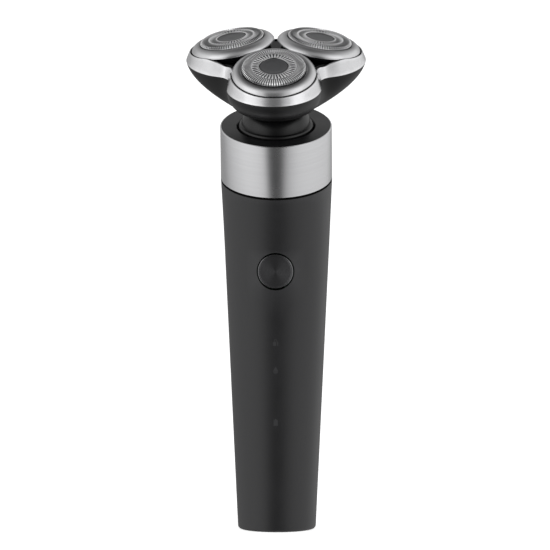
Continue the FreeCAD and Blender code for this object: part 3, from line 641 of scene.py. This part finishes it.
def make_floor():
    """Plain pale floor just below the base, wide enough to fill the view."""
    reach, clearance = 30.0, 0.05 * MM
    form = bmesh.new()
    bmesh.ops.create_grid(form, x_segments=1, y_segments=1, size=reach)
    mesh = closed_mesh("floor", form)
    surface = Surface("pale_floor")
    cloud = surface.noise(surface.place(), grain=0.4, detail=2.0)
    tone = surface.tint(cloud, (0.93, 0.93, 0.93), (0.94, 0.94, 0.94))
    surface.shader.inputs["Emission Color"].default_value = (1, 1, 1, 1)
    surface.shader.inputs["Emission Strength"].default_value = 0.72
    mesh.materials.append(surface.finish(tone, surface.between(cloud, 0.6, 0.7)))
    floor = bpy.data.objects.new("floor", mesh)
    floor.location.z = -clearance
    bpy.context.scene.collection.objects.link(floor)
    floor.visible_glossy = False


# Brightness of the walls by bearing in degrees: 0 is the camera's side, 90 is +X.
ROUND_THE_ROOM = [
    (-180, 0.3), (-150, 0.3), (-122, 0.58), (-90, 0.9), (-62, 1.03), (-40, 0.98), (-22, 0.5), (-7, 0.06),
    (7, 0.06), (23, 0.42), (46, 0.82), (70, 0.93), (120, 0.85), (145, 0.65), (160, 0.35), (180, 0.3),
]
# How the walls' light changes with the Z of a direction, and the light that comes from all round.
UP_THE_ROOM = [(-1.0, 0.6), (-0.7, 0.9), (0.0, 1.0), (0.35, 1.0), (0.6, 0.5), (0.85, 0.15), (1.0, 0.0)]
ALL_ROUND = [
    (-1.0, 0.04), (-0.5, 0.05), (-0.1, 0.08), (0.1, 0.14), (0.35, 0.16), (0.53, 0.34), (0.75, 0.38),
    (0.92, 0.18), (1.0, 0.12),
]


def light_curve(tree, source, low, high, stops):
    """A brightness that follows a value between two limits through stops of (value, brightness)."""
    share = tree.nodes.new("ShaderNodeMapRange")
    share.inputs["From Min"].default_value = low
    share.inputs["From Max"].default_value = high
    tree.links.new(source, share.inputs["Value"])
    curve = tree.nodes.new("ShaderNodeFloatCurve")
    curve.mapping.use_clip = False
    points = curve.mapping.curves[0].points
    places = [((value - low) / (high - low), brightness) for value, brightness in stops]
    for place in places[1:-1]:
        points.new(*place)
    points[0].location = places[0]
    points[len(points) - 1].location = places[-1]
    curve.mapping.update()
    tree.links.new(share.outputs[0], curve.inputs["Value"])
    return curve.outputs[0]


def make_sky():
    """White studio walls: bright to the left and right, dark behind the camera, dim overhead."""
    world = bpy.data.worlds.new("studio")
    bpy.context.scene.world = world
    world.use_nodes = True
    tree = world.node_tree

    def maths(operation, first, second):
        item = tree.nodes.new("ShaderNodeMath")
        item.operation = operation
        for socket, value in zip(item.inputs, (first, second)):
            if isinstance(value, float):
                socket.default_value = value
            else:
                tree.links.new(value, socket)
        return item.outputs[0]

    where = tree.nodes.new("ShaderNodeTexCoord")
    parts = tree.nodes.new("ShaderNodeSeparateXYZ")
    tree.links.new(where.outputs["Generated"], parts.inputs[0])
    towards_camera = maths("MULTIPLY", parts.outputs["Y"], -1.0)
    bearing = maths("MULTIPLY", maths("ARCTAN2", parts.outputs["X"], towards_camera), 180 / math.pi)
    round_light = light_curve(tree, bearing, -180.0, 180.0, ROUND_THE_ROOM)
    wall_light = maths("MULTIPLY", round_light, light_curve(tree, parts.outputs["Z"], -1.0, 1.0, UP_THE_ROOM))
    fill_light = light_curve(tree, parts.outputs["Z"], -1.0, 1.0, ALL_ROUND)
    tree.links.new(maths("ADD", wall_light, fill_light), tree.nodes["Background"].inputs["Strength"])
    tree.nodes["Background"].inputs["Color"].default_value = (1, 1, 1, 1)


def pointing(centre, aim):
    """Place at a centre whose -Z axis points at the aim."""
    turn = (aim - centre).to_track_quat("-Z", "Y")
    return Matrix.Translation(centre) @ turn.to_matrix().to_4x4()


def make_softbox(name, side):
    """A rectangular soft light in front of the object, on one side of it, facing its middle."""
    light = bpy.data.lights.new(name, "AREA")
    light.shape = "RECTANGLE"
    light.size = 1.0
    light.size_y = 1.4
    light.energy = 1.2
    holder = bpy.data.objects.new(name, light)
    holder.matrix_world = pointing(Vector((side, -0.9, 0.7)), MIDDLE)
    bpy.context.scene.collection.objects.link(holder)


def make_camera():
    """Long lens a little above the base, looking at the front from slightly to the right."""
    aim = Vector((-0.67 * MM, 0.0, MIDDLE.z + 1.0 * MM))
    distance, rise, swing = 2.2, math.radians(4.38), math.radians(1.66)
    away = Vector((math.sin(swing) * math.cos(rise), -math.cos(swing) * math.cos(rise), math.sin(rise)))
    camera = bpy.data.cameras.new("camera")
    camera.sensor_width = 36.0
    camera.lens = 412.0
    camera.clip_end = 100.0
    holder = bpy.data.objects.new("camera", camera)
    holder.matrix_world = pointing(aim + away * distance, aim)
    bpy.context.scene.collection.objects.link(holder)
    bpy.context.scene.camera = holder


bpy.context.scene.view_settings.view_transform = "Standard"
finish_frame()
make_collar_ring()
make_joint_gasket()
make_button_cap()
make_units()
make_icons()
make_floor()
make_sky()
make_camera()
make_softbox("left_softbox", -1.3)
make_softbox("right_softbox", 1.3)

bpy.context.view_layer.update()
